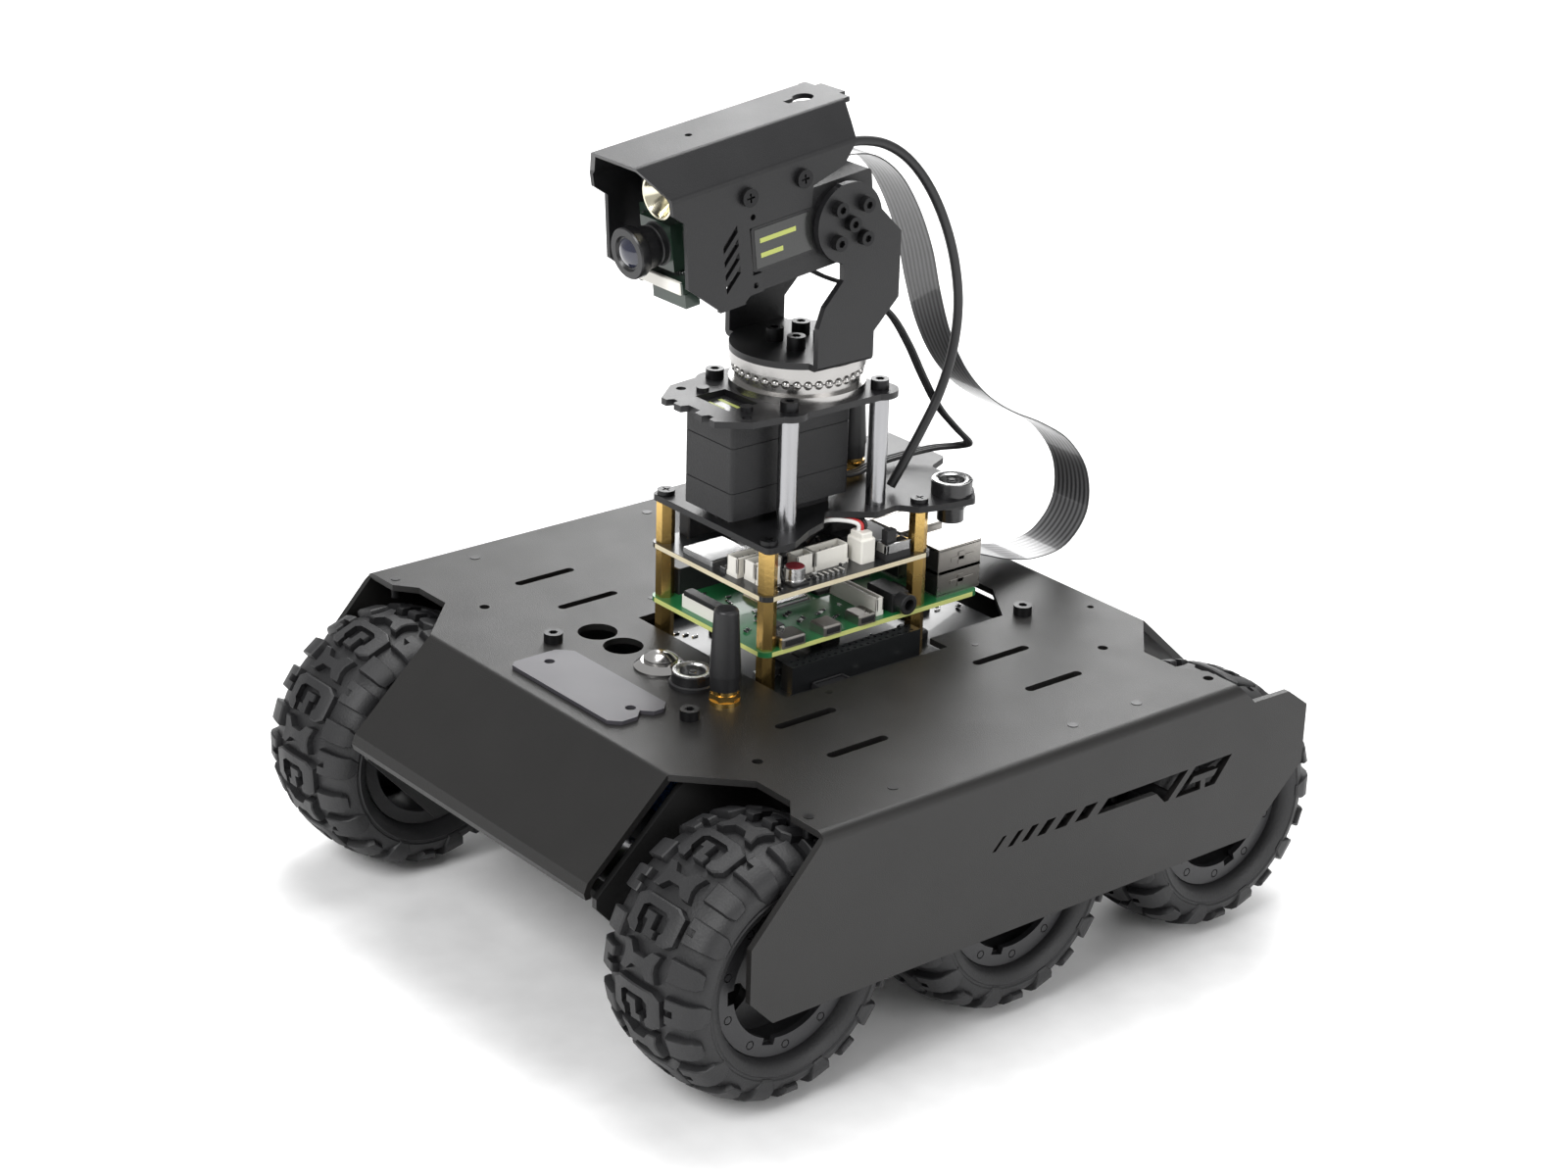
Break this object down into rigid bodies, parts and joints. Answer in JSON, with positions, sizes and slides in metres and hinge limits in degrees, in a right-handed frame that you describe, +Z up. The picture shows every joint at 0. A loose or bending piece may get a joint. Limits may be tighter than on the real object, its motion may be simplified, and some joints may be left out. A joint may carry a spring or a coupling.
{
  "type": "wheeled robot chassis",
  "caption": "Low wheeled rover with a folded metal hull, chunky tyres, stacked controller boards and a pan and tilt camera head with a lamp.",
  "frame": {"origin": "on the ground, under the middle of the hull", "axes": "-Y is the rover's front, +X its left, +Z up"},
  "size_m": [0.2246, 0.25, 0.2522],
  "materials": {
    "shell_paint": "matte powder coat",
    "tub_paint": "matte powder coat",
    "plate_black": "satin anodised",
    "hood_black": "satin anodised",
    "black_steel": "black oxide, satin",
    "tyre": "moulded rubber, matte",
    "rim_plastic": "moulded, matte",
    "ring_plastic": "moulded, satin",
    "hub_metal": "turned",
    "motor_can": "plated can",
    "axle_steel": "turned",
    "battery_wrap": "shrink wrap",
    "black_board": "solder mask",
    "green_board": "solder mask",
    "port_metal": "stamped shell",
    "socket_plastic": "moulded, satin",
    "brass": "turned, bright",
    "post_metal": "turned, bright",
    "bearing_metal": "turned, bright",
    "servo_plastic": "moulded, fine texture",
    "horn_metal": "turned",
    "smoked_acrylic": "polished",
    "button_chrome": "polished",
    "button_steel": "polished dome",
    "jack_plastic": "moulded",
    "antenna_gold": "gold plated",
    "antenna_rubber": "moulded, satin",
    "knob_plastic": "moulded",
    "cable_rubber": "jacket, satin",
    "ribbon_film": "film, satin",
    "lead_jacket": "jacket, satin",
    "camera_board": "solder mask",
    "lens_black": "moulded with glass front",
    "lamp_reflector": "polished bowl"
  },
  "bodies": {
    "chassis": {"upper_shell": "shell_paint", "lower_tub": "tub_paint", "shell_screws": "black_steel", "display_window": "smoked_acrylic", "gear_motors": "motor_can", "middle_axles": "axle_steel", "battery_pack": "battery_wrap", "control_board": "black_board", "button_body": "button_chrome", "panel_jacks": "jack_plastic", "antenna_sockets": "antenna_gold", "antenna_sleeves": "antenna_rubber", "brass_standoffs": "brass", "computer_board": "green_board", "computer_ports": "port_metal", "driver_board": "black_board", "driver_parts": "socket_plastic", "stack_plate": "plate_black", "support_posts": "post_metal", "stack_screws": "black_steel", "pan_servo": "servo_plastic", "servo_plate": "plate_black", "bearing_base_ring": "bearing_metal", "power_leads": "lead_jacket", "camera_ribbon": "ribbon_film", "head_cables": "cable_rubber"},
    "power_button": {"button_cap": "button_steel"},
    "mode_switch": {"switch_knob": "knob_plastic"},
    "yoke": {"bearing_turn_ring": "bearing_metal", "servo_horns": "horn_metal", "yoke": "plate_black", "yoke_screws": "black_steel"},
    "head": {"tilt_servo": "servo_plastic", "head_shell": "hood_black", "head_screws": "black_steel", "camera_module": "camera_board", "camera_lens": "lens_black", "head_lamp": "lamp_reflector"},
    "front_left_wheel": {"front_left_tyre": "tyre", "front_left_rim": "rim_plastic", "front_left_ring": "ring_plastic", "front_left_hub": "hub_metal"},
    "front_right_wheel": {"front_right_tyre": "tyre", "front_right_rim": "rim_plastic", "front_right_ring": "ring_plastic", "front_right_hub": "hub_metal"},
    "middle_left_wheel": {"middle_left_tyre": "tyre", "middle_left_rim": "rim_plastic", "middle_left_ring": "ring_plastic"},
    "middle_right_wheel": {"middle_right_tyre": "tyre", "middle_right_rim": "rim_plastic", "middle_right_ring": "ring_plastic"},
    "rear_left_wheel": {"rear_left_tyre": "tyre", "rear_left_rim": "rim_plastic", "rear_left_ring": "ring_plastic", "rear_left_hub": "hub_metal"},
    "rear_right_wheel": {"rear_right_tyre": "tyre", "rear_right_rim": "rim_plastic", "rear_right_ring": "ring_plastic", "rear_right_hub": "hub_metal"}
  },
  "joints": [
    {"name": "front_left_spin", "type": "hinge", "parent": "chassis", "child": "front_left_wheel", "pos_m": [0.08725, -0.085, 0.04], "axis": [1, 0, 0], "continuous": true},
    {"name": "front_right_spin", "type": "hinge", "parent": "chassis", "child": "front_right_wheel", "pos_m": [-0.08725, -0.085, 0.04], "axis": [1, 0, 0], "continuous": true},
    {"name": "middle_left_spin", "type": "hinge", "parent": "chassis", "child": "middle_left_wheel", "pos_m": [0.08725, 0, 0.04], "axis": [1, 0, 0], "continuous": true},
    {"name": "middle_right_spin", "type": "hinge", "parent": "chassis", "child": "middle_right_wheel", "pos_m": [-0.08725, 0, 0.04], "axis": [1, 0, 0], "continuous": true},
    {"name": "rear_left_spin", "type": "hinge", "parent": "chassis", "child": "rear_left_wheel", "pos_m": [0.08725, 0.085, 0.04], "axis": [1, 0, 0], "continuous": true},
    {"name": "rear_right_spin", "type": "hinge", "parent": "chassis", "child": "rear_right_wheel", "pos_m": [-0.08725, 0.085, 0.04], "axis": [1, 0, 0], "continuous": true},
    {"name": "button_press", "type": "slide", "parent": "chassis", "child": "power_button", "axis": [0, 0, -1], "range_m": [0, 0.002], "stiffness_N_per_m": 500, "springref_m": -0.002},
    {"name": "switch_slide", "type": "slide", "parent": "chassis", "child": "mode_switch", "axis": [0, 1, 0], "range_m": [0, 0.0036]},
    {"name": "pan", "type": "hinge", "parent": "chassis", "child": "yoke", "pos_m": [0, -0.0007, 0.17], "axis": [0, 0, 1], "range_deg": [-180, 180], "deforming": ["camera_ribbon", "head_cables"]},
    {"name": "tilt", "type": "hinge", "parent": "yoke", "child": "head", "pos_m": [0, -0.0007, 0.2187], "axis": [1, 0, 0], "range_deg": [-90, 20]}
  ]
}
